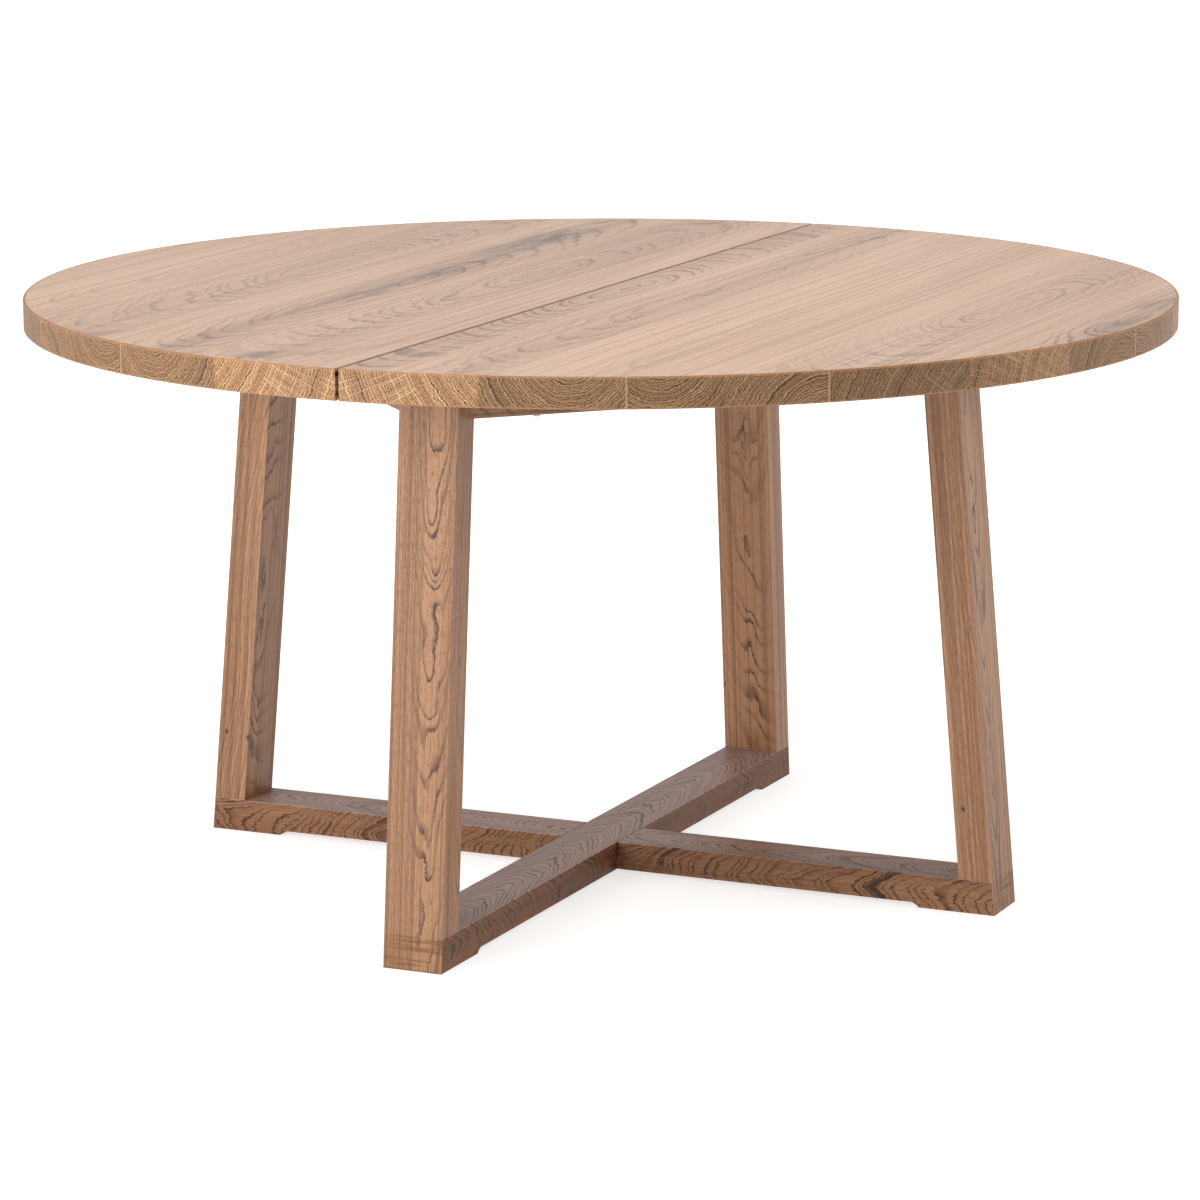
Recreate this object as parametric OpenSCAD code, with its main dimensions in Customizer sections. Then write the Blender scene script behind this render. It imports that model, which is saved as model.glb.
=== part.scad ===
// Round dining table: a top in two halves on a crossed base.
// Row frame: +Z up, origin on the floor under the centre of the top.
// The seam between the halves runs along Y, and so does the through rail.

/* [Table] */
// Diameter of the top
top_d = 1450; // [1200:10:1600]
// Height of the top surface above the floor
table_h = 750; // [700:5:780]
// Thickness of the top
top_t = 37; // [30:1:45]
// Open seam between the two halves
seam_gap = 4.5; // [3:0.5:8]

/* [Top build-up] */
// Thickness of the sawn oak face and backing
face_t = 2; // [1.5:0.5:4]
// Thickness of the end-grain band round the rim
band_t = 3; // [2:0.5:6]
// Thickness of the lipping along the seam
lip_t = 6; // [4:1:12]

/* [Base] */
// Length of each frame at the floor
base_l = 1102; // [1000:2:1160]
// Width of legs and rails, across the frame
leg_w = 77; // [70:1:85]
// Depth of a leg, along its frame
leg_d = 44; // [40:1:50]
// Lean of the legs, in degrees
lean = 5; // [3:0.5:6]
// Height of a rail above the floor
rail_h = 42.5; // [40:0.5:50]
// Height of the arch under a rail
arch_h = 6; // [4:0.5:8]
// Length of the foot at each rail end
foot_l = 100; // [90:1:115]

/* [Upper frame] */
// Distance from the centre to the outer face of an apron
apron_r = 358; // [350:1:366]
// Height of an apron
apron_h = 57; // [50:1:66]
// Thickness of an apron
apron_t = 22; // [18:1:24]

/* [Hidden] */

$fn = 48;
big = 2000;             // larger than the table, for cutting halves
fit = 0.05;             // radial play round a fastener in its hole

// Heights
under_z = table_h - top_t;          // underside of the top
apron_z = under_z - apron_h;        // underside of the aprons
pad_t = 3;                          // thickness of a felt pad
pad_out = 0.5;                      // how far a pad stands out of its foot
rail_z = pad_out;                   // underside of a foot
arch_z = pad_out + arch_h;          // underside of a rail between its feet
lap_z = (rail_h + arch_z) / 2;      // where the two rails share the crossing

// The rim band is jointed from blocks: joints at these angles from the seam
rim_joints = [0, 13.1, 26.5, 45, 59.7, 72.9, 85.8, 99, 117.5, 135, 153.5, 166.9, 180];
rim_joint_gap = 0.15;               // glue line between two blocks
rim_seam_offset = seam_gap / 2;
arris = 1;                          // bevel along the rim's two edges

// Legs and rails
slope = tan(lean);
half_l = base_l / 2;
half_w = leg_w / 2;
lap_play = 1.2;                     // play on each side of the crossing
arch_ease = 11;                     // length of the curve from foot to arch

// Fasteners: shank radius, head radius, head height
bolt_r = 4;
bolt_head_r = 6.5;
bolt_head_h = 5;
washer_r = 8;
washer_t = 1.6;
insert_r = 6;
insert_l = 18;
clear_r = 4.5;
dowel_r = 5;
dowel_l = 40;
screw_r = 2;
screw_head_r = 4;
screw_head_h = 2.4;

// Felt pad under a foot: its length, width and inner end
pad_l = 46;
pad_w = leg_w - 15;
pad_r = half_l - foot_l + 8;

// Leg to rail joint
joint_r = half_l - slope * rail_h - leg_d / 2;      // joint's distance from the centre
low_bolt_t = 22;                                    // bolts each side of the leg's centre
low_head_z = 16;                                    // underside of a washer in its counterbore
low_bolt_l = rail_h - low_head_z + 22;

// Leg to upper frame joint
block_h = 48;                       // height of a corner block
block_z = under_z - 2 - block_h;    // its underside
block_in = 385;                     // its inner face, from the centre
up_bolt_z = block_z + block_h / 2;
up_bolt_t = 20;
inner_r = apron_r - apron_t;        // inner face of an apron

// Screws up through the aprons into the top
top_screw_at = 213;                 // each side of an apron's middle
top_screw_r = 2.5;
top_screw_l = apron_h + 20;
pan_r = 4.5;
pan_h = 3.5;

// Plates across the seam
plate_l = 150;
plate_w = 32;
plate_t = 3;
plate_y = [-300, 0, 300];
plate_screw_x = [20, 58];
plate_screw_l = 18;

oak_top = "#c8a58a";
oak_edge = "#a5794f";
oak_frame = "#9a7354";
oak_rail = "#7f5f4b";
board = "#b99b72";
beech = "#d8b98c";
steel = "#a9abad";
felt = "#5a544e";

// ---------- helpers ----------

// Repeats on the four frame ends: 0 front (-Y), 1 right (+X), 2 back (+Y), 3 left (-X)
module at_end(i) {
    rotate([0, 0, 90 * i]) children();
}

// A point on the front end, as distance from the centre, sideways place and height
module at_front(r, t, z) {
    translate([t, -r, z]) children();
}

// Half of the round top on one side of the seam: side is 1 right, -1 left
module half_disc(r, z, h, edge) {
    intersection() {
        translate([0, 0, z]) cylinder(r = r, h = h, $fn = 180);
        translate([edge, -big / 2, z - 1]) cube([big, big, h + 2]);
    }
}

module on_side(side) {
    if (side > 0) children();
    else mirror([1, 0, 0]) children();
}

// Countersunk wood screw along +Z with its head's face at z = 0 and its tip up
module wood_screw(l) {
    cylinder(r1 = screw_head_r, r2 = screw_r, h = screw_head_h);
    translate([0, 0, screw_head_h - 0.01]) cylinder(r = screw_r, h = l - screw_head_h - 3);
    translate([0, 0, l - 3.02]) cylinder(r1 = screw_r, r2 = 0.4, h = 3);
}

// The hole such a screw fills
module screw_hole(l) {
    translate([0, 0, -0.01]) cylinder(r1 = screw_head_r + fit, r2 = screw_r + fit, h = screw_head_h);
    translate([0, 0, -0.01]) cylinder(r = screw_r + fit, h = l + 0.5);
}

// Socket-head furniture bolt along +Z, head below z = 0
module socket_bolt(l) {
    cylinder(r = bolt_r, h = l);
    difference() {
        translate([0, 0, -bolt_head_h]) cylinder(r = bolt_head_r, h = bolt_head_h);
        translate([0, 0, -bolt_head_h - 1]) cylinder(r = 3, h = 4, $fn = 6);
    }
}

module washer() {
    difference() {
        cylinder(r = washer_r, h = washer_t);
        translate([0, 0, -1]) cylinder(r = clear_r, h = washer_t + 2);
    }
}

// Threaded insert along +Z, mouth at z = 0
module threaded_insert() {
    difference() {
        cylinder(r = insert_r, h = insert_l);
        translate([0, 0, -1]) cylinder(r = bolt_r + fit, h = insert_l + 2);
    }
}

module insert_hole() {
    translate([0, 0, -1]) cylinder(r = insert_r + fit, h = insert_l + 1.5);
    cylinder(r = bolt_r + 0.5, h = insert_l + 8);
}

// ---------- tabletop ----------

module top_core(side) {
    color(board) difference() {
        on_side(side) half_disc(top_d / 2 - band_t, under_z + face_t, top_t - 2 * face_t,
            rim_seam_offset + lip_t);
        pilot_holes();
    }
}

module top_face(side) {
    color(oak_top) on_side(side)
        half_disc(top_d / 2 - band_t, table_h - face_t, face_t, rim_seam_offset);
}

module top_backing(side) {
    color(oak_top) difference() {
        on_side(side) half_disc(top_d / 2 - band_t, under_z, face_t, rim_seam_offset);
        pilot_holes();
    }
}

module seam_lip(side) {
    lip_half = sqrt(pow(top_d / 2 - band_t, 2) - pow(rim_seam_offset + lip_t, 2));
    color(oak_edge) on_side(side) translate([rim_seam_offset, -lip_half, under_z + face_t])
        cube([lip_t, 2 * lip_half, top_t - 2 * face_t]);
}

// One block of the rim band, between two angles measured from the front end of the seam
module rim_block(a0, a1) {
    play = rim_joint_gap / (top_d / 2) * 180 / PI / 2;
    rotate([0, 0, a0 - 90 + play]) rotate_extrude(angle = a1 - a0 - 2 * play, $fn = 180)
        translate([top_d / 2, under_z]) polygon([
            [-band_t, 0], [-arris, 0], [0, arris],
            [0, top_t - arris], [-arris, top_t], [-band_t, top_t]
        ]);
}

module rim_band(side) {
    color(oak_edge) on_side(side) intersection() {
        for (i = [0 : len(rim_joints) - 2]) rim_block(rim_joints[i], rim_joints[i + 1]);
        translate([rim_seam_offset, -big / 2, 0]) cube([big, big, table_h + 1]);
    }
}

// ---------- legs and rails ----------

// Outline of a leg in its frame's plane: distance from the centre, height
function leg_outline() = [
    [half_l - slope * rail_h - leg_d, rail_h],
    [half_l - slope * rail_h, rail_h],
    [half_l - slope * under_z, under_z],
    [half_l - slope * under_z - leg_d, under_z]
];

// Curve from the foot up into the arch, from the foot's inner end
function ease_points(n = 8) = [
    for (i = [0 : n]) let (s = i / n)
        [half_l - foot_l - arch_ease * s, rail_z + arch_h * sin(90 * s)]
];

function rail_half_outline() = concat(
    [[0, rail_h], [0, arch_z]],
    [for (i = [len(ease_points()) - 1 : -1 : 0]) ease_points()[i]],
    [[half_l - slope * rail_z, rail_z], [half_l - slope * rail_h, rail_h]]
);

// Draws an outline standing in the plane of the front end, leg_w thick
module standing(points) {
    rotate([90, 0, -90]) translate([0, 0, -half_w]) linear_extrude(leg_w) polygon(points);
}

module leg() {
    color(oak_frame) difference() {
        standing(leg_outline());
        for (s = [-1, 1]) {
            at_front(joint_r, s * low_bolt_t, rail_h) insert_hole();
            at_front(leg_inner(up_bolt_z), s * up_bolt_t, up_bolt_z) rotate([90, 0, 0]) insert_hole();
        }
        at_front(joint_r, 0, rail_h - 1) cylinder(r = dowel_r + fit, h = dowel_l / 2 + 2);
    }
}

// Distance from the centre to a leg's inner face at height z
function leg_inner(z) = half_l - slope * z - leg_d;

// Both halves of a rail with the holes of its two leg joints
module rail_blank() {
    difference() {
        union() {
            standing(rail_half_outline());
            rotate([0, 0, 180]) standing(rail_half_outline());
        }
        for (a = [0, 180]) rotate([0, 0, a]) {
            for (s = [-1, 1]) at_front(joint_r, s * low_bolt_t, 0) {
                cylinder(r = clear_r, h = rail_h + 1);
                cylinder(r = washer_r + 0.5, h = low_head_z);
            }
            at_front(joint_r, 0, rail_h - dowel_l / 2 - 1) cylinder(r = dowel_r + fit, h = dowel_l);
            pad_pocket();
        }
    }
}

module rail_through() {
    color(oak_rail) difference() {
        rail_blank();
        translate([-half_w - 1, -half_w - lap_play, 0]) cube([leg_w + 2, leg_w + 2 * lap_play, lap_z]);
        translate([0, 0, lap_z]) cylinder(r = insert_r + fit, h = 14.5);
    }
}

module rail_lapped() {
    color(oak_rail) rotate([0, 0, 90]) difference() {
        rail_blank();
        translate([-half_w - 1, -half_w - lap_play, lap_z + fit])
            cube([leg_w + 2, leg_w + 2 * lap_play, rail_h]);
        cylinder(r = clear_r, h = rail_h);
        cylinder(r = washer_r + 0.5, h = arch_z + 6.6);
    }
}

// Felt pad let into a foot, inward of the leg's bolts
module pad_pocket() {
    at_front(pad_r + pad_l, -pad_w / 2, 0) translate([-fit, -fit, 0])
        cube([pad_w + 2 * fit, pad_l + 2 * fit, pad_t]);
}

module foot_pad() {
    color(felt) at_front(pad_r + pad_l, -pad_w / 2, 0) cube([pad_w, pad_l, pad_t]);
}

// ---------- upper frame ----------

// Plan of the apron between the front and right legs
function apron_plan() = let (o = apron_r * sqrt(2), i = inner_r * sqrt(2)) [
    [half_w, half_w - o], [o - half_w, -half_w],
    [i - half_w, -half_w], [half_w, half_w - i]
];

module apron() {
    color(oak_frame) difference() {
        translate([0, 0, apron_z]) linear_extrude(apron_h) polygon(apron_plan());
        rotate([0, 0, 45]) top_screw_holes();
        corner_screw_holes(0);
        rotate([0, 0, 90]) corner_screw_holes(1);
    }
}

// Plan of the block behind the front leg
function block_plan() = let (i = inner_r * sqrt(2), lie = 0.1) [
    [-half_w, half_w - i + lie], [-half_w, -big], [half_w, -big], [half_w, half_w - i + lie],
    [i - block_in - lie, -block_in], [block_in - i + lie, -block_in]
];

module corner_block() {
    color(oak_frame) difference() {
        intersection() {
            translate([0, 0, block_z]) linear_extrude(block_h) polygon(block_plan());
            // stops at the leaning inner face of the leg
            rotate([90, 0, -90]) translate([0, 0, -half_w * 3]) linear_extrude(leg_w * 3) polygon([
                [0, 0], [leg_inner(0) - fit, 0], [leg_inner(under_z) - fit, under_z], [0, under_z]
            ]);
        }
        for (s = [-1, 1]) at_front(block_in - 1, s * up_bolt_t, up_bolt_z)
            rotate([90, 0, 0]) cylinder(r = clear_r, h = 80);
        for (k = [0, 1]) corner_screw_holes(k);
    }
}

// The screws that fix the front block to its two aprons: k is 0 right apron, 1 left apron
corner_screw_l = 34;
corner_screw_n = inner_r - 16;      // head face, along the apron's normal
corner_screw_s = 235;               // from the apron's middle, along the apron

module at_corner_screws(k) {
    for (z = [block_z + 12, block_z + block_h - 12])
        rotate([0, 0, k == 0 ? 45 : -45])
            translate([(k == 0 ? -1 : 1) * corner_screw_s, -corner_screw_n, z])
                rotate([90, 0, 0]) children();
}

module corner_screw_holes(k) {
    at_corner_screws(k) {
        screw_hole(corner_screw_l);
        translate([0, 0, -30]) cylinder(r = screw_head_r + 0.5, h = 30);
    }
}

module corner_screws() {
    color(steel) for (i = [0 : 3]) at_end(i) for (k = [0, 1]) at_corner_screws(k)
        wood_screw(corner_screw_l);
}

// ---------- screws that hold the top ----------

// Their places under the front-right apron, in that apron's own frame
module at_top_screws() {
    for (s = [-1, 1]) translate([s * top_screw_at, -apron_r + apron_t / 2, apron_z]) children();
}

module top_screw_holes() {
    at_top_screws() cylinder(r = top_screw_r + 0.5, h = apron_h * 2, center = true);
}

// Pan-head screw along +Z, seated on its head at z = 0
module pan_screw(l, r) {
    difference() {
        union() {
            translate([0, 0, -2]) cylinder(r = pan_r, h = 2);
            translate([0, 0, -pan_h]) cylinder(r1 = pan_r - 1.6, r2 = pan_r, h = pan_h - 1.99);
        }
        translate([0, 0, -pan_h - 1]) cylinder(r = 1.8, h = 3, $fn = 6);
    }
    cylinder(r = r, h = l - 4);
    translate([0, 0, l - 4.02]) cylinder(r1 = r, r2 = 0.5, h = 4);
}

module top_screws() {
    color(steel) for (i = [0 : 3]) at_end(i) rotate([0, 0, 45]) at_top_screws()
        pan_screw(top_screw_l, top_screw_r);
}

// ---------- plates across the seam ----------

module seam_plates() {
    color(steel) for (y = plate_y) difference() {
        translate([-plate_l / 2, y - plate_w / 2, under_z - plate_t]) cube([plate_l, plate_w, plate_t]);
        for (x = plate_screw_x, s = [-1, 1])
            translate([s * x, y, under_z - plate_t]) screw_hole(plate_screw_l);
    }
}

module seam_plate_screws() {
    color(steel) for (y = plate_y, x = plate_screw_x, s = [-1, 1])
        translate([s * x, y, under_z - plate_t]) wood_screw(plate_screw_l);
}

// Pilot holes in the underside of the top for both kinds of screw
module pilot_holes() {
    for (i = [0 : 3]) at_end(i) rotate([0, 0, 45]) at_top_screws()
        cylinder(r = top_screw_r + fit, h = top_screw_l + 0.5);
    for (y = plate_y, x = plate_screw_x, s = [-1, 1])
        translate([s * x, y, under_z - 1]) cylinder(r = screw_r + fit, h = plate_screw_l);
}

// ---------- bolts ----------

module at_upper_bolts() {
    for (i = [0 : 3]) at_end(i) for (s = [-1, 1])
        at_front(block_in - washer_t, s * up_bolt_t, up_bolt_z) rotate([90, 0, 0]) children();
}

module upper_leg_bolts() {
    color(steel) at_upper_bolts() socket_bolt(leg_inner(up_bolt_z) - block_in + washer_t + 16);
}

module upper_leg_washers() {
    color(steel) at_upper_bolts() washer();
}

module upper_leg_inserts() {
    color(steel) for (i = [0 : 3]) at_end(i) for (s = [-1, 1])
        at_front(leg_inner(up_bolt_z) + 0.5, s * up_bolt_t, up_bolt_z)
            rotate([90, 0, 0]) threaded_insert();
}

module at_lower_bolts() {
    for (i = [0 : 3]) at_end(i) for (s = [-1, 1])
        at_front(joint_r, s * low_bolt_t, 0) children();
}

module lower_leg_bolts() {
    color(steel) at_lower_bolts() translate([0, 0, low_head_z - washer_t]) socket_bolt(low_bolt_l);
}

module lower_leg_washers() {
    color(steel) at_lower_bolts() translate([0, 0, low_head_z - washer_t]) washer();
}

module lower_leg_inserts() {
    color(steel) at_lower_bolts() translate([0, 0, rail_h + 0.2]) threaded_insert();
}

module lower_leg_dowels() {
    color(beech) for (i = [0 : 3]) at_end(i)
        at_front(joint_r, 0, rail_h - dowel_l / 2) cylinder(r = dowel_r, h = dowel_l);
}

cross_head_z = arch_z + 6.6;

module cross_bolt() {
    color(steel) translate([0, 0, cross_head_z - washer_t]) socket_bolt(lap_z - cross_head_z + 14);
}

module cross_washer() {
    color(steel) translate([0, 0, cross_head_z - washer_t]) washer();
}

module cross_insert() {
    color(steel) translate([0, 0, lap_z + 0.3]) difference() {
        cylinder(r = insert_r, h = 14);
        translate([0, 0, -1]) cylinder(r = bolt_r + fit, h = 16);
    }
}

// ---------- nodes ----------

top_core(-1);  // top_core_left
top_core(1);  // top_core_right
top_face(-1);  // top_face_left
top_face(1);  // top_face_right
top_backing(-1);  // top_backing_left
top_backing(1);  // top_backing_right
rim_band(-1);  // rim_band_left
rim_band(1);  // rim_band_right
seam_lip(-1);  // seam_lip_left
seam_lip(1);  // seam_lip_right
leg();  // leg_front
at_end(1) leg();  // leg_right
at_end(2) leg();  // leg_back
at_end(3) leg();  // leg_left
rail_through();
rail_lapped();
apron();  // apron_front_right
at_end(1) apron();  // apron_back_right
at_end(2) apron();  // apron_back_left
at_end(3) apron();  // apron_front_left
corner_block();  // corner_block_front
at_end(1) corner_block();  // corner_block_right
at_end(2) corner_block();  // corner_block_back
at_end(3) corner_block();  // corner_block_left
corner_screws();
upper_leg_bolts();
upper_leg_washers();
upper_leg_inserts();
top_screws();
seam_plates();
seam_plate_screws();
cross_bolt();
cross_washer();
cross_insert();
lower_leg_bolts();
lower_leg_washers();
lower_leg_inserts();
lower_leg_dowels();
foot_pad();  // foot_pad_front
at_end(1) foot_pad();  // foot_pad_right
at_end(2) foot_pad();  // foot_pad_back
at_end(3) foot_pad();  // foot_pad_left
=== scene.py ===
import math
from collections import namedtuple

import bpy
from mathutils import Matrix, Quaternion, Vector


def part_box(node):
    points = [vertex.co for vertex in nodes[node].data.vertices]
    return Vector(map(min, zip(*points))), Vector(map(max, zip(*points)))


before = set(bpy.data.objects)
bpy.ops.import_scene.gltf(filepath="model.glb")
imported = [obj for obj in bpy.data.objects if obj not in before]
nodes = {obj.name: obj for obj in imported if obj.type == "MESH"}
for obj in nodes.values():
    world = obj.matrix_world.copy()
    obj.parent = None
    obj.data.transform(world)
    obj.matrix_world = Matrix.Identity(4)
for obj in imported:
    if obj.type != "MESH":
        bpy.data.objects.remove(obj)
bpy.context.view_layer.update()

# ---------------------------------------------------------------- sizes, in metres

TOP_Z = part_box("top_face_right")[1][2]        # the top surface
UNDER_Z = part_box("rim_band_right")[0][2]      # the underside of the top
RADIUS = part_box("rim_band_right")[1][0]       # the rim
RAIL_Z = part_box("rail_through")[1][2]         # the top of the floor rails
FOOT_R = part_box("rail_through")[1][1]         # from the centre to the end of a rail, at the floor
LEG_LEAN = math.radians(5.0)
QUARTER_TURN = math.pi / 2
SKIN = 0.0012                                 # how far in from a face its own colour reaches
ARRIS = 0.0008                                # width of the rounding on sanded edges

# The legs, one quarter turn apart, and the aprons that follow them
ENDS = ["front", "right", "back", "left"]
APRONS = ["front_right", "back_right", "back_left", "front_left"]
HARDWARE = ("bolts", "washers", "inserts", "screws", "plates", "bolt", "washer", "insert")


def linear(r, g, b):
    """An sRGB colour in 0 to 255 as the linear colour that shaders use."""
    channels = [c / 255 for c in (r, g, b)]
    return tuple(c / 12.92 if c < 0.04045 else ((c + 0.055) / 1.055) ** 2.4 for c in channels) + (1.0,)


# ---------------------------------------------------------------- node graphs


class Field:
    """A number that varies over a surface: an output socket that can be used in sums."""

    def __init__(self, graph, socket):
        self.graph = graph
        self.socket = socket

    def __add__(self, other):
        return self.graph.math("ADD", self, other)

    __radd__ = __add__

    def __mul__(self, other):
        return self.graph.math("MULTIPLY", self, other)

    def __sub__(self, other):
        return self.graph.math("SUBTRACT", self, other)

    def __rsub__(self, other):
        return self.graph.math("SUBTRACT", other, self)

    def __truediv__(self, other):
        return self.graph.math("DIVIDE", self, other)

    def __abs__(self):
        return self.graph.math("ABSOLUTE", self)

    def root(self):
        return self.graph.math("SQRT", self)

    def step(self, low, high):
        """0 at low and beyond it, 1 at high and beyond it, smooth between them. low may be larger."""
        node = self.graph.new("ShaderNodeMapRange", interpolation_type="SMOOTHSTEP")
        self.graph.feed(node.inputs["Value"], self)
        node.inputs["From Min"].default_value = low
        node.inputs["From Max"].default_value = high
        return Field(self.graph, node.outputs["Result"])

    def bell(self, centre, width):
        """1 at centre, falling to about a third a width away."""
        off = (self - centre) / width
        return self.graph.math("EXPONENT", off * off * -1.0)


class Graph:
    """Builds one material's nodes."""

    def __init__(self, name):
        self.material = bpy.data.materials.new(name)
        self.material.use_nodes = True
        self.tree = self.material.node_tree
        self.shader = self.tree.nodes["Principled BSDF"]
        coords = self.new("ShaderNodeTexCoord")
        self.place = coords.outputs["Object"]

    def new(self, kind, **settings):
        """A node of this kind, with these settings."""
        node = self.tree.nodes.new(kind)
        for key, value in settings.items():
            setattr(node, key, value)
        return node

    def feed(self, target, value):
        """Puts a field, another node's output or a constant into an input."""
        if isinstance(value, Field):
            self.tree.links.new(value.socket, target)
        elif isinstance(value, bpy.types.NodeSocket):
            self.tree.links.new(value, target)
        else:
            target.default_value = value

    def math(self, operation, a, b=None):
        """One operation on one or two numbers."""
        node = self.new("ShaderNodeMath", operation=operation)
        self.feed(node.inputs[0], a)
        if b is not None:
            self.feed(node.inputs[1], b)
        return Field(self, node.outputs["Value"])

    def largest(self, *fields):
        """The largest of these numbers, everywhere."""
        total = fields[0]
        for field in fields[1:]:
            total = self.math("MAXIMUM", total, field)
        return total

    def axes(self, vector=None):
        """X, Y and Z of the place on the object, or of another vector."""
        node = self.new("ShaderNodeSeparateXYZ")
        self.tree.links.new(vector or self.place, node.inputs[0])
        return [Field(self, out) for out in node.outputs]

    def turned(self, quarters):
        """X, Y and Z with the object turned back by this many quarter turns about Z."""
        node = self.new("ShaderNodeMapping", vector_type="POINT")
        self.tree.links.new(self.place, node.inputs["Vector"])
        node.inputs["Rotation"].default_value = (0.0, 0.0, -QUARTER_TURN * quarters)
        return self.axes(node.outputs["Vector"])

    def point(self, x, y, z):
        """Three numbers as one vector."""
        node = self.new("ShaderNodeCombineXYZ")
        for target, value in zip(node.inputs, (x, y, z)):
            self.feed(target, value)
        return node.outputs["Vector"]

    def noise(self, x, y, z, detail=2.0, rough=0.5):
        """Noise in space from about 0.2 to 0.8, with its mean at 0.5."""
        node = self.new("ShaderNodeTexNoise", noise_dimensions="3D")
        self.tree.links.new(self.point(x, y, z), node.inputs["Vector"])
        return self.noise_value(node, detail, rough)

    def line_noise(self, w, detail=2.0, rough=0.5):
        """The same noise along a line."""
        node = self.new("ShaderNodeTexNoise", noise_dimensions="1D")
        self.feed(node.inputs["W"], w)
        return self.noise_value(node, detail, rough)

    def noise_value(self, node, detail, rough):
        """The value of a noise node with this much fine detail."""
        node.inputs["Scale"].default_value = 1.0
        node.inputs["Detail"].default_value = detail
        node.inputs["Roughness"].default_value = rough
        return Field(self, node.outputs[0])

    def table(self, key, rows):
        """Three numbers that change from zone to zone. rows is [(start, (a, b, c)), ...].

        key and the starts run from 0 to 1."""
        ramp = self.new("ShaderNodeValToRGB")
        ramp.color_ramp.interpolation = "CONSTANT"
        stops = ramp.color_ramp.elements
        while len(stops) < len(rows):
            stops.new(1.0)
        for stop, (start, values) in zip(stops, rows):
            stop.position = start
            stop.color = tuple(values) + (1.0,)
        self.feed(ramp.inputs["Fac"], key)
        node = self.new("ShaderNodeSeparateColor")
        self.tree.links.new(ramp.outputs["Color"], node.inputs[0])
        return [Field(self, out) for out in node.outputs]

    def mix(self, share, a, b):
        """Colour a, with this share of colour b."""
        node = self.new("ShaderNodeMix", data_type="RGBA")
        self.feed(node.inputs["Factor"], share)
        self.feed(node.inputs[6], a)
        self.feed(node.inputs[7], b)
        return node.outputs[2]

    def shade(self, colour, value):
        """The colour with its brightness multiplied by value."""
        node = self.new("ShaderNodeHueSaturation")
        self.feed(node.inputs["Color"], colour)
        self.feed(node.inputs["Value"], value)
        return node.outputs["Color"]

    def finish(self, colour, height, rough, depth, gloss=0.5):
        """Sends colour, relief and roughness to the shader. depth is the relief's depth in metres."""
        self.feed(self.shader.inputs["Base Color"], colour)
        self.feed(self.shader.inputs["Roughness"], rough)
        self.shader.inputs["Specular IOR Level"].default_value = gloss
        bump = self.new("ShaderNodeBump")
        bump.inputs["Strength"].default_value = 1.0
        bump.inputs["Distance"].default_value = depth
        self.feed(bump.inputs["Height"], height)
        self.tree.links.new(bump.outputs["Normal"], self.shader.inputs["Normal"])
        return self.material


# ---------------------------------------------------------------- oak


GRAIN_DEPTH = 0.0003  # depth of pores and rings in sanded oak


def frame_look(**changes):
    """How one piece of oak is sawn and coloured. Lengths are in metres."""
    look = {
        "v0": 0.0,          # where the pith line runs, across the face
        "w0": 0.034,        # and how deep it lies under the face
        "tilt": 0.02,       # how fast it sinks along the grain
        "taper": -0.08,     # how fast the rings narrow along the grain: it nests them in a row of Vs
        "drift": 0.035,     # how far it wanders up and down
        "bend": 2.5,        # how often it does so, per metre
        "warp": 0.0032,     # raggedness of the ring lines
        "lumps": 0.014,     # size of the bumps that turn lines into closed curls
        "spacing": 0.0048,  # width of a ring
        "spread": 0.017,    # half width of the figured strip over the pith
        "lines": 0.5,       # strength of the straight ring lines
        "figure": 0.9,      # strength of the dark lines over the pith
        "stripes": 0.5,     # strength of the pinstripes
        "pores": 0.25,      # strength of the pores
        "pale": linear(156, 117, 85),
        "mid": linear(144, 105, 75),
        "deep": linear(98, 64, 44),
        "dark": linear(34, 22, 16),
    }
    look.update(changes)
    return look


def stripes(g, u, v, w):
    """Pinstripes along the grain, about 6 mm and 2 mm wide, and pores 0.6 mm wide."""
    broad = g.noise(u * 0.7, v * 190, w * 190, detail=1.5, rough=0.6)
    fine = g.noise(u * 1.5, v * 520, w * 520, detail=1.5, rough=0.65)
    pores = g.noise(u * 90, v * 1600, w * 1600, detail=1, rough=0.6)
    return broad, fine, pores


def ring_edges(g, radius, spacing, unevenness=2.2):
    """Late wood: it darkens slowly outwards through each ring, and ends at a sharp edge."""
    phase = radius / spacing
    uneven = g.line_noise(phase * 0.45, detail=1) * unevenness
    part = g.math("FRACT", phase + uneven)
    return part.step(0.50, 0.93) * part.step(1.0, 0.95)


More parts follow.
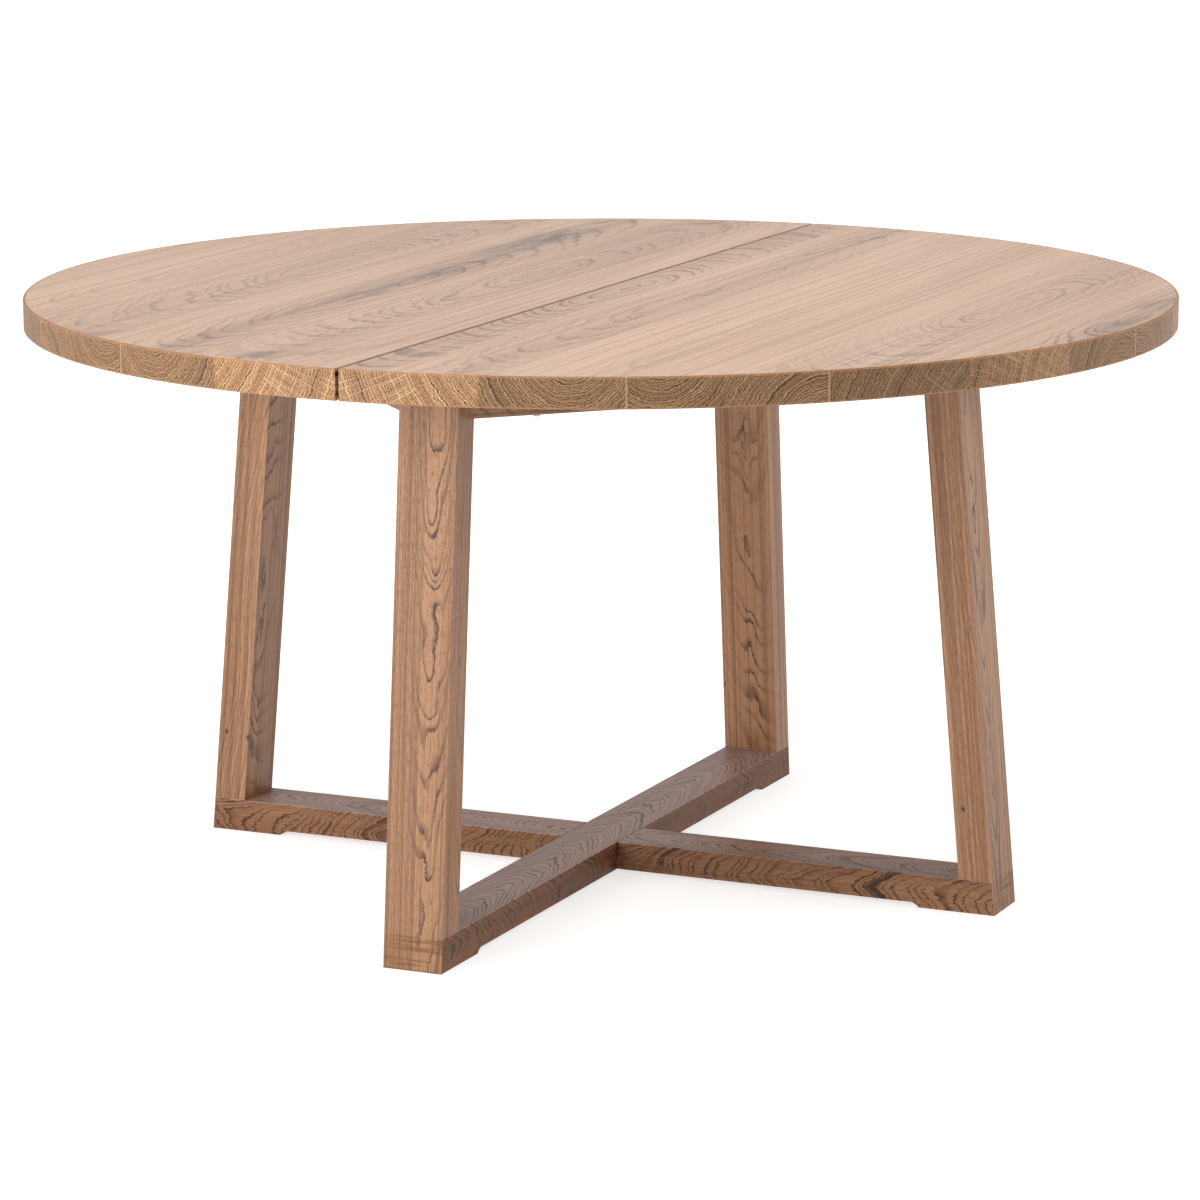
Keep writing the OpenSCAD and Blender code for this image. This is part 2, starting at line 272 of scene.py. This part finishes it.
def long_grain(g, u, v, w, look, painted_sheen=0.0):
    """Oak cut along the grain. u runs along it, v across the face and w into it, in metres.

    The rings are shells round a pith line that wanders through the board, so a face shows nested
    loops over the pith and straight lines away from it. The last argument gives the share of a pale
    painted reflection laid over the wood."""
    wander = g.noise(u * look["bend"], v * 4, w * 4, detail=1.5) - 0.5
    lumps = g.noise(u * 12, v * 34, w * 34, detail=1) - 0.5
    ragged = g.noise(u * 110, v * 330, w * 330, detail=2, rough=0.6) - 0.5
    across = v - look["v0"] + wander * 0.02
    over_pith = across.bell(0.0, look["spread"])
    depth = w - look["w0"] + u * look["tilt"] + wander * look["drift"] * 2
    bumps = ragged * look["warp"] + lumps * look["lumps"]
    shell = (across * across + depth * depth).root()
    radius = shell + bumps * (over_pith * 0.85 + 0.15) + u * look["taper"]
    late = ring_edges(g, radius, look["spacing"])
    broad, fine, pores = stripes(g, u, v, w)
    tone = g.noise(u * 1.1, v * 22, w * 22, detail=2)
    fade = g.noise(u * 9, v * 50, w * 50, detail=1).step(0.36, 0.56)
    plain = (1.0 - over_pith * 0.6) * look["stripes"]
    near_pith = across.bell(0.0, look["spread"] * 1.9) * 0.75 + 0.25
    colour = g.mix(tone.step(0.35, 0.65), look["pale"], look["mid"])
    # Painted reflection: a pale mauve grey laid over the wood, standing in for bright surroundings
    # mirrored at grazing angles.
    colour = g.mix(painted_sheen, colour, linear(182, 158, 152))
    colour = g.mix(broad.step(0.49, 0.58) * plain, colour, look["deep"])
    colour = g.mix(fine.step(0.49, 0.62) * plain, colour, look["deep"])
    colour = g.mix(late * near_pith * look["lines"], colour, look["deep"])
    colour = g.mix(late * late * over_pith * fade * look["figure"], colour, look["dark"])
    colour = g.mix(pores.step(0.55, 0.72) * look["pores"], colour, look["dark"])
    height = pores.step(0.72, 0.55) * 0.7 + late * 0.3
    rough = 0.34 + fine * 0.16
    return colour, height, rough


# Where the pith line runs in each leg, from the front one round to the left one
LEG_CUTS = [
    {"v0": 0.015, "w0": 0.034, "spread": 0.015, "taper": -0.055, "lumps": 0.021},
    {"v0": -0.012, "w0": 0.050},
    {"v0": -0.006, "w0": 0.050, "spread": 0.013},
    {"v0": 0.022, "w0": 0.045},
]

# Pin knots in each leg's sides: height above the floor, place across the outer face and depth
PIN_KNOTS = [
    [],
    [(0.133, -0.0385, 0.031)],
    [(0.133, 0.0385, 0.043)],
    [(0.134, 0.0385, 0.011), (0.129, 0.0385, 0.043)],
]
KNOT_SIZE = (0.0034, 0.0030, 0.0024)  # half widths of a knot in the same three directions


def leg_place(x, y, z, index):
    """The place in a leg: along its grain, across its outer face and into that face.

    Each leg starts elsewhere along the grain, so that no two look alike."""
    out = (FOOT_R - abs(y)) * math.cos(LEG_LEAN) - z * math.sin(LEG_LEAN)
    return z + 3.7 * index, x, out


def leg_material(index):
    """Grain runs up a leaning leg."""
    g = Graph("oak_leg_" + ENDS[index])
    x, y, z = g.turned(index)
    look = frame_look(**LEG_CUTS[index])
    along, across, deep = leg_place(x, y, z, index)
    colour, height, rough = long_grain(g, along, across, deep, look)
    for knot in PIN_KNOTS[index]:
        parts = [field.bell(at, size) for field, at, size in zip((z, across, deep), knot, KNOT_SIZE)]
        colour = g.mix(parts[0] * parts[1] * parts[2], colour, look["dark"])
    return g.finish(colour, height, rough, GRAIN_DEPTH, gloss=0.25)


def rail_material(name, quarter, sheen_fade_at_end, **changes):
    """Grain runs along a rail, which is turned by some quarters from the Y axis.

    Its ends look like the legs. Its top face is painted paler, a painted reflection that lightens the
    upward face, and the third argument says how much less of it there is towards the end at -Y."""
    g = Graph("oak_" + name)
    x, y, z = g.turned(quarter)
    look = frame_look(
        w0=0.026,
        tilt=0.0,
        taper=0.22,
        drift=0.020,
        bend=4.5,
        warp=0.0030,
        lumps=0.011,
        spacing=0.0031,
        spread=0.2,
        lines=0.5,
        figure=0.8,
        stripes=0.3,
        pale=linear(134, 95, 68),
        mid=linear(118, 82, 57),
        deep=linear(68, 42, 29),
        dark=linear(24, 14, 10),
    )
    look.update(changes)
    # Painted reflection: only the top face gets a pale layer, which fades towards the end at -Y.
    on_top = z.step(RAIL_Z - SKIN, RAIL_Z - SKIN / 3)
    painted_sheen = on_top * (0.52 - y.step(-0.02, -0.25) * sheen_fade_at_end)
    colour, height, rough = long_grain(g, y + 6.1 * quarter, x, RAIL_Z - z, look, painted_sheen=painted_sheen)
    end = long_grain(g, *leg_place(x, y, z, quarter), frame_look(**LEG_CUTS[quarter]))[0]
    smear = g.noise(x * 14, z * 260, y, detail=2)
    end = g.mix(smear.step(0.47, 0.60) * 0.55, end, linear(88, 58, 38))
    is_end = (abs(y) + z * math.tan(LEG_LEAN)).step(FOOT_R - SKIN, FOOT_R - SKIN / 3)
    colour = g.mix(is_end, colour, end)
    return g.finish(colour, height, rough, GRAIN_DEPTH, gloss=0.15)


def apron_material(name, quarter):
    """Grain runs along an apron, which lies diagonally between two legs."""
    g = Graph("oak_" + name)
    x, y, z = g.turned(quarter + 0.5)
    look = frame_look(pale=linear(150, 116, 90), mid=linear(134, 102, 78))
    mid_height = UNDER_Z - 0.03
    colour, height, rough = long_grain(g, x + 2.3 * quarter, z - mid_height, y, look)
    return g.finish(colour, height, rough, GRAIN_DEPTH, gloss=0.25)


def as_share(millimetres, span):
    """A length as a share of a span in metres, with 0 mm at a half, as a colour table can hold it."""
    return millimetres / 1000 / span + 0.5


# Boards of the top from left to right. In millimetres, along X: where the board starts and where its
# pith line runs. In millimetres, along Y: where its loops are centred. Then the slope of the pith, the
# raggedness of the lines, the strength of the figure, and the brightness.
Board = namedtuple("Board", "start pith centre slope ragged figure bright")
TOP_BOARDS = [
    Board(-730, -560, 0, 0.10, 0.3, 0.10, 0.97),
    Board(-515, -415, 60, 0.16, 0.8, 0.55, 0.95),
    Board(-355, -250, -40, 0.10, 0.5, 0.70, 1.00),
    Board(-205, -130, 90, 0.13, 1.0, 0.60, 0.96),
    Board(0, 30, 10, 0.17, 0.4, 0.80, 1.00),
    Board(62, 140, 90, 0.07, 1.0, 0.55, 1.00),
    Board(178, 300, 0, 0.03, 0.2, 0.05, 1.03),
    Board(440, 535, 90, 0.16, 0.8, 0.55, 1.00),
    Board(625, 700, 20, 0.12, 0.5, 0.70, 1.02),
]
TOP_SPAN = 1.46     # width of the boards together
CENTRE_SPAN = 1.0   # range of the places along Y in the table


def top_material(name):
    """The sheet of sawn oak leaves that faces the top, with grey mineral streaks."""
    g = Graph(name)
    x, y, z = g.axes()
    places = []
    characters = []
    for board in TOP_BOARDS:
        start = as_share(board.start, TOP_SPAN)
        place = (as_share(board.pith, TOP_SPAN), as_share(board.centre, CENTRE_SPAN), board.slope)
        places.append((start, place))
        characters.append((start, (board.ragged, board.figure, board.bright)))
    key = x / TOP_SPAN + 0.5
    pith, centre, slope = g.table(key, places)
    ragged, figure, bright = g.table(key, characters)
    wander = g.noise(x * 3, y * 2.4, 0.0, detail=1.5) - 0.5
    wiggle = g.noise(x * 36, y * 14, 0.4, detail=4, rough=0.7) - 0.5
    across = x - (pith - 0.5) * TOP_SPAN + wander * 0.03
    along = y - (centre - 0.5) * CENTRE_SPAN
    depth = along * slope * 1.5 + wander * 0.07
    radius = (across * across + depth * depth).root() + wiggle * ragged * 0.022
    late = ring_edges(g, radius, 0.0090)
    broad, fine, pores = stripes(g, y, x, z)
    over_pith = across.bell(0.0, 0.045)
    tone = g.noise(x * 9, y * 1.2, 0.0, detail=2)
    fade = g.noise(x * 30, y * 3, 0.2, detail=1).step(0.32, 0.58)
    line = late * late * fade
    pale = linear(190, 158, 134)
    mid = linear(179, 147, 123)
    deep = linear(128, 96, 76)
    mauve = linear(138, 112, 98)
    slate = linear(62, 54, 51)
    colour = g.mix(tone.step(0.3, 0.7), pale, mid)
    colour = g.mix(over_pith * figure * 0.4, colour, mauve)
    colour = g.mix(broad.step(0.50, 0.57) * 0.30, colour, deep)
    colour = g.mix(fine.step(0.48, 0.62) * 0.30, colour, deep)
    colour = g.mix(line * over_pith * figure, colour, slate)
    colour = g.mix(late * late * 0.25, colour, deep)
    colour = g.mix(pores.step(0.56, 0.74) * 0.3, colour, deep)
    streak = streak_mask(g, x, y, wiggle)
    colour = g.mix(streak * (0.8 + line * 0.2), colour, slate)
    colour = g.shade(colour, bright)
    height = pores.step(0.74, 0.56) * 0.7 + late * 0.3
    rough = 0.36 + fine * 0.16
    return g.finish(colour, height, rough, 0.0002, gloss=0.3)


def streak_mask(g, x, y, wiggle):
    """Grey mineral streaks: a long one in the left half, in four parts, and an oval at the right rim."""
    edge = wiggle * 0.05
    body = (x + 0.275 + edge).bell(0.0, 0.036) * y.bell(0.44, 0.20)
    tail = (x + 0.255 + edge).bell(0.0, 0.028) * y.bell(-0.02, 0.36) * 0.75
    foot = (x + 0.250 + edge).bell(0.0, 0.020) * y.bell(-0.58, 0.16) * 0.4
    knot = (x + 0.275).bell(0.0, 0.030) * y.bell(0.35, 0.035) * 0.7
    oval = (x - 0.700 + edge).bell(0.0, 0.030) * y.bell(0.04, 0.20) * 0.75
    patches = g.noise(x * 60, y * 6, 0.9, detail=3, rough=0.65).step(0.40, 0.56)
    return g.largest(body, tail, foot, knot, oval) * (0.3 + patches * 0.7)


# Zones of the rim on either half, from the near end of the seam round to the far end: the start in
# degrees, the pith of the rings as a distance along the rim and a height from mid-rim in millimetres,
# how strongly the rays show, and the brightness. Most zones are one block.
RimZone = namedtuple("RimZone", "start arc rise rays bright")
RIM_ZONES = [
    RimZone(0.0, 262, 95, 0.9, 0.90),
    RimZone(7.6, 262, 95, 0.25, 1.00),
    RimZone(13.1, 272, 45, 0.1, 0.66),
    RimZone(26.5, 372, 50, 0.1, 0.62),
    RimZone(34.5, 575, -70, 0.1, 0.66),
    RimZone(45.0, 880, -130, 0.5, 0.56),
    RimZone(59.7, 1010, -70, 0.9, 0.72),
    RimZone(65.5, 1010, -60, 0.7, 0.90),
    RimZone(72.9, 1050, -48, 0.1, 0.70),
    RimZone(85.8, 1100, -50, 0.1, 0.72),
    RimZone(99.0, 1420, 90, 0.8, 0.92),
    RimZone(117.5, 1600, -60, 0.2, 0.68),
    RimZone(135.0, 1790, 60, 0.4, 0.74),
    RimZone(153.5, 2080, 100, 0.8, 0.88),
    RimZone(166.9, 2200, -45, 0.2, 0.66),
]
ARC_SPAN = 2.4      # range of the distances along the rim in the table
RISE_SPAN = 0.4     # range of the heights in the table


def rim_material(name):
    """End grain on the blocks of the rim: ring arcs crossed by pale rays."""
    g = Graph(name)
    x, y, z = g.axes()
    places = []
    shades = []
    for zone in RIM_ZONES:
        start = zone.start / 180
        place = (zone.arc / 1000 / ARC_SPAN, as_share(zone.rise, RISE_SPAN), zone.rays)
        places.append((start, place))
        shades.append((start, (zone.bright, 0.0, 0.0)))
    angle = g.math("ARCTAN2", abs(x), y * -1.0)
    key = angle / math.pi
    arc, rise, rays = g.table(key, places)
    bright = g.table(key, shades)[0]
    along = angle * RADIUS
    a = along - arc * ARC_SPAN
    h = (z - (TOP_Z + UNDER_Z) / 2) - (rise - 0.5) * RISE_SPAN
    wave = g.noise(along * 60, z * 80, 0.0, detail=3, rough=0.65) - 0.5
    radius = (a * a + h * h).root() + wave * 0.009
    late = ring_edges(g, radius, 0.0031, unevenness=1.4)
    thin = g.line_noise(radius / 0.0011, detail=1.5, rough=0.6)
    wide = g.line_noise(radius / 0.012, detail=1, rough=0.5)
    turn = g.math("ARCTAN2", h, a)
    ray = g.noise(turn * 140, radius * 12, 0.0, detail=1.5, rough=0.5)
    speck = g.noise(along * 420, z * 420, 0.0, detail=2, rough=0.7)
    pale = linear(182, 140, 99)
    mid = linear(164, 121, 83)
    deep = linear(46, 27, 15)
    colour = g.mix(wide.step(0.35, 0.65), pale, mid)
    colour = g.mix(late * 0.95, colour, deep)
    colour = g.mix(thin.step(0.48, 0.58) * 0.35, colour, deep)
    colour = g.mix(speck.step(0.52, 0.60) * 0.5, colour, deep)
    colour = g.mix(ray.step(0.56, 0.64) * rays * 0.55, colour, linear(200, 164, 120))
    # Painted shade: the rim's colour darkens steadily towards +X, standing in for how the light falls
    # across it.
    painted_shade_to_the_right = 1.03 - x * 0.14
    colour = g.shade(colour, bright * painted_shade_to_the_right)
    colour = g.mix(glue_lines(g, angle) * 0.7, colour, linear(190, 154, 112))
    upper_edge = z.step(TOP_Z - 0.0032, TOP_Z - 0.0012)
    lower_edge = z.step(UNDER_Z + 0.0028, UNDER_Z + 0.0010)
    colour = g.mix(g.largest(upper_edge, lower_edge) * 0.45, colour, linear(162, 112, 76))
    height = speck.step(0.70, 0.46) * 0.6 - late * 0.4
    rough = 0.42 + speck * 0.16
    return g.finish(colour, height, rough, 0.00025, gloss=0.25)


GLUED_JOINTS = [26.5, 45.0, 85.8, 117.5, 135.0, 153.5]  # degrees from the near end of the seam


def glue_lines(g, angle):
    """Pale glue lines about a millimetre wide at some of the rim's joints."""
    return g.largest(*[angle.bell(math.radians(joint), 0.0011) for joint in GLUED_JOINTS])


def board_material(name):
    """Unstained wood of the core boards, corner blocks and dowels. Of these, only the blocks show."""
    g = Graph(name)
    x, y, z = g.axes()
    look = frame_look(pale=linear(206, 176, 132), mid=linear(190, 158, 116), figure=0.1, spread=0.03)
    colour, height, rough = long_grain(g, y, x, z, look)
    return g.finish(colour, height, rough, 0.0002)


def steel_material(name):
    """Zinc-plated steel, slightly mottled and brushed."""
    g = Graph(name)
    x, y, z = g.axes()
    mottle = g.noise(x * 160, y * 160, z * 160, detail=3)
    scuff = g.noise(x * 900, y * 120, z * 900, detail=2)
    colour = g.mix(mottle.step(0.35, 0.65), linear(186, 188, 190), linear(160, 163, 167))
    g.shader.inputs["Metallic"].default_value = 1.0
    return g.finish(colour, scuff, 0.28 + mottle * 0.2, 0.00005)


def felt_material(name):
    """Pressed felt."""
    g = Graph(name)
    x, y, z = g.axes()
    fuzz = g.noise(x * 1300, y * 1300, z * 1300, detail=3, rough=0.7)
    colour = g.mix(fuzz.step(0.35, 0.65), linear(84, 78, 72), linear(108, 101, 94))
    g.shader.inputs["Sheen Weight"].default_value = 0.4
    return g.finish(colour, fuzz, 0.95, 0.0006, gloss=0.2)


# ---------------------------------------------------------------- dress the nodes


def soften(name):
    """Rounds a node's sharp edges a little, as sanding does."""
    piece = nodes[name]
    weld = piece.modifiers.new("weld", "WELD")
    weld.merge_threshold = 0.00001
    bevel = piece.modifiers.new("arris", "BEVEL")
    bevel.width = ARRIS
    bevel.segments = 2
    bevel.limit_method = "ANGLE"
    bevel.angle_limit = math.radians(40)
    bevel.harden_normals = True


def dress(name, material):
    """Gives a node this material and no other."""
    piece = nodes[name]
    piece.data.materials.clear()
    piece.data.materials.append(material)


top_oak = top_material("oak_top")
rim_oak = rim_material("oak_rim")
raw_board = board_material("raw_board")
steel = steel_material("zinc_steel")
felt = felt_material("felt")

for side in ("left", "right"):
    dress("top_face_" + side, top_oak)
    dress("top_backing_" + side, top_oak)
    dress("top_core_" + side, raw_board)
    dress("rim_band_" + side, rim_oak)
    dress("seam_lip_" + side, rim_oak)

for index, end in enumerate(ENDS):
    dress("leg_" + end, leg_material(index))
    soften("leg_" + end)

darker_look = {"pale": linear(115, 75, 47), "mid": linear(99, 63, 39), "figure": 0.7}
dress("rail_through", rail_material("rail_through", 0, sheen_fade_at_end=0.0, **darker_look))
dress("rail_lapped", rail_material("rail_lapped", 1, sheen_fade_at_end=0.28))
soften("rail_through")
soften("rail_lapped")

for index, apron in enumerate(APRONS):
    dress("apron_" + apron, apron_material("apron_" + apron, index))
    soften("apron_" + apron)

for end in ENDS:
    dress("corner_block_" + end, raw_board)
    dress("foot_pad_" + end, felt)
dress("lower_leg_dowels", raw_board)

for name in nodes:
    if name.endswith(HARDWARE):
        dress(name, steel)

# ---------------------------------------------------------------- studio

FLOOR_HALF = 40.0
WHITE = (1.0, 1.0, 1.0, 1.0)
GREY = (0.5, 0.5, 0.5, 1.0)


def glowing_floor():
    """Pale floor that glows a little as painted light, and glows less near and under the table as
    painted shade, so that only its contact shadow shows.
    """
    g = Graph("glowing_floor")
    g.shader.inputs["Base Color"].default_value = GREY
    g.shader.inputs["Roughness"].default_value = 0.9
    g.shader.inputs["Emission Color"].default_value = WHITE
    x, y = g.axes()[:2]
    away = (x * x + y * y).root()
    # Painted light: emission on the floor, weaker within about 2.4 m of the table's centre as painted
    # shade.
    g.feed(g.shader.inputs["Emission Strength"], away.step(0.6, 2.4) * 0.2 + 0.68)
    return g.material


floor_mesh = bpy.data.meshes.new("floor")
floor_corners = [(x * FLOOR_HALF, y * FLOOR_HALF, 0) for x, y in ((-1, -1), (1, -1), (1, 1), (-1, 1))]
floor_mesh.from_pydata(floor_corners, [], [(0, 1, 2, 3)])
floor_mesh.materials.append(glowing_floor())
floor = bpy.data.objects.new("floor", floor_mesh)
bpy.context.scene.collection.objects.link(floor)

world = bpy.data.worlds.new("studio")
bpy.context.scene.world = world
world.use_nodes = True
sky = world.node_tree.nodes["Background"]
sky.inputs["Color"].default_value = WHITE
sky.inputs["Strength"].default_value = 0.55


def soft_light(name, place, size, power, target=(0.0, 0.0, 0.4), seen=True):
    """A square light at a place, aimed at a point on the table. seen is whether the camera sees it."""
    data = bpy.data.lights.new(name, "AREA")
    data.size = size
    data.energy = power
    light = bpy.data.objects.new(name, data)
    light.location = place
    aim = Vector(target) - Vector(place)
    light.rotation_euler = aim.to_track_quat("-Z", "Y").to_euler()
    light.visible_camera = seen
    bpy.context.scene.collection.objects.link(light)


soft_light("key", (-1.8, -4.6, 1.7), size=2.6, power=215)
soft_light("overhead", (-0.3, -0.5, 3.6), size=3.2, power=85)
soft_light("side", (4.2, 0.9, 2.1), size=1.6, power=76)
soft_light("back", (-2.1, 4.7, 1.6), size=3.0, power=14, seen=False)

# The camera stands at the near right, 0.8 m above the table's top, and looks slightly down
EYE = (2.4499, -5.4332, 1.5686)
TURN = math.radians(24.29)      # to the left of the Y axis
PITCH = math.radians(-11.572)   # below level
ROLL = math.radians(-0.12)
SENSOR = 36                     # millimetres, as is the lens
LENS = 142.63

camera_data = bpy.data.cameras.new("camera")
camera_data.sensor_width = SENSOR
camera_data.lens = LENS
camera_data.clip_end = 200
camera = bpy.data.objects.new("camera", camera_data)
camera.location = EYE
aim = Vector((-math.sin(TURN) * math.cos(PITCH), math.cos(TURN) * math.cos(PITCH), math.sin(PITCH)))
camera.rotation_mode = "QUATERNION"
camera.rotation_quaternion = aim.to_track_quat("-Z", "Y") @ Quaternion((0, 0, 1), ROLL)
bpy.context.scene.collection.objects.link(camera)
bpy.context.scene.camera = camera
bpy.context.scene.view_settings.view_transform = "Standard"
